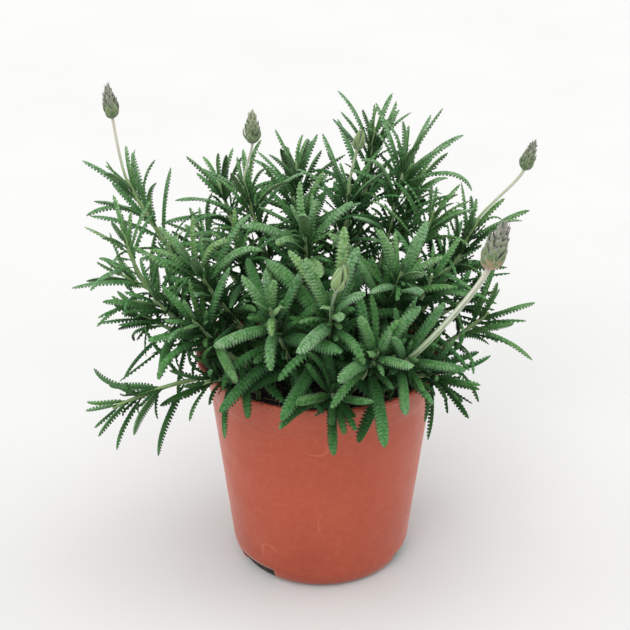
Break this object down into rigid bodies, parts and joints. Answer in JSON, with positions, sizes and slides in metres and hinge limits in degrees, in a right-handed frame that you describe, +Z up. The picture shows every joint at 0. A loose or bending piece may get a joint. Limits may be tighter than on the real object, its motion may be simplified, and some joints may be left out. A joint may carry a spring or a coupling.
{
  "type": "potted lavender",
  "caption": "Young lavender with toothed grey-green leaves and a few flower heads, growing in a tapered terracotta-coloured plastic nursery pot.",
  "frame": {"origin": "centre of the pot's flat underside", "axes": "+Z up out of the pot, -Y towards the front of the plant, +X to its right"},
  "size_m": [0.2521, 0.2396, 0.2837],
  "materials": {
    "pot": "satin, thin-walled, scuffed",
    "soil": "coarse, dry, crumbly",
    "foliage": "soft, finely hairy",
    "flower": "soft, finely hairy"
  },
  "bodies": {
    "root": {"pot": "pot", "soil": "soil", "shoot_left_flower": "foliage", "head_left_flower": "flower", "shoot_left_tuft": "foliage", "shoot_left_fan": "foliage", "shoot_back_flower": "foliage", "head_back_flower": "flower", "shoot_back_tuft": "foliage", "shoot_back_bud": "foliage", "head_back_bud": "flower", "shoot_crown_left": "foliage", "shoot_crown_right": "foliage", "shoot_right_tuft": "foliage", "shoot_right_flower": "foliage", "head_right_flower": "flower", "shoot_right_low": "foliage", "shoot_right_rim": "foliage", "shoot_front_flower": "foliage", "head_front_flower": "flower", "shoot_front_bud": "foliage", "head_front_bud": "flower", "shoot_front_rosette": "foliage", "shoot_left_rosette": "foliage", "shoot_right_inner": "foliage", "shoot_front_low": "foliage", "shoot_left_trail": "foliage", "shoot_left_mid": "foliage", "shoot_left_low": "foliage", "shoot_right_mid": "foliage", "shoot_centre_right": "foliage", "shoot_front_right": "foliage", "shoot_centre": "foliage", "shoot_centre_back": "foliage", "shoot_left_inner": "foliage", "shoot_left_side": "foliage", "shoot_left_rim": "foliage", "shoot_right_front": "foliage", "shoot_rear_left": "foliage", "shoot_rear_middle": "foliage", "shoot_rear_right": "foliage", "shoot_rear_low_left": "foliage", "shoot_rear_low_middle": "foliage", "shoot_rear_low_right": "foliage"}
  },
  "joints": []
}
